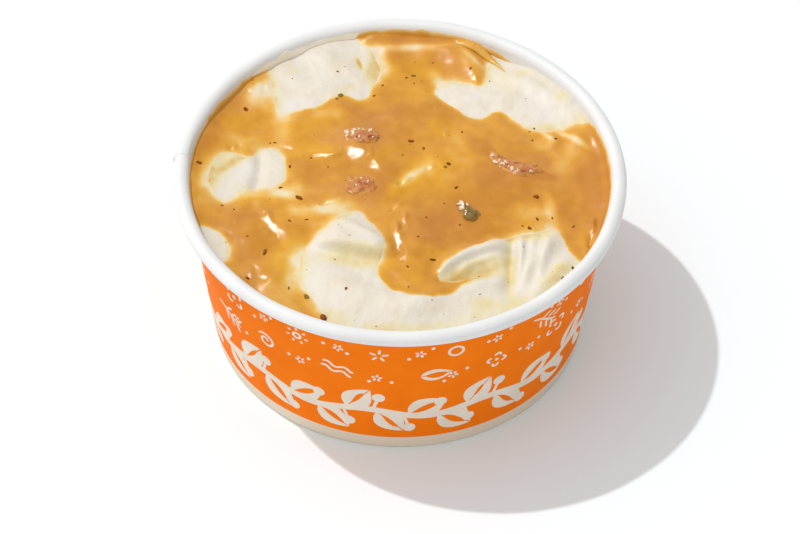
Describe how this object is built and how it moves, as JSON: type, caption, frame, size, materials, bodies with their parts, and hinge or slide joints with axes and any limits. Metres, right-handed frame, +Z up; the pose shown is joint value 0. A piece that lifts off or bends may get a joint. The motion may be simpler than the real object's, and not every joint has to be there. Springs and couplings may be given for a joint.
{
  "type": "mashed potato side",
  "caption": "Mashed potato under brown gravy with bits of meat and herbs, filling a squat round paper cup with a rolled rim, a printed side wall and a recessed bottom.",
  "frame": {"origin": "centre of the cup's foot, on the plane that it stands on", "axes": "+Z up through the rim; -Y is the front that the bare mash lies towards; the side seam is at -X"},
  "size_m": [0.09, 0.09, 0.04],
  "materials": {
    "printed_paper": "satin orange print on white paperboard",
    "white_paper": "satin white paperboard",
    "mash": "soft moist mash, off-white",
    "gravy": "glossy, slightly translucent golden brown sauce",
    "meat": "moist pinkish brown cooked meat",
    "herb": "moist olive green vegetable and herb flakes"
  },
  "bodies": {
    "root": {"cup_wall": "printed_paper", "cup_bottom": "white_paper", "mashed_potato": "mash", "gravy": "gravy", "meat_piece_1": "meat", "meat_piece_2": "meat", "meat_piece_3": "meat", "green_piece": "herb"}
  },
  "joints": []
}
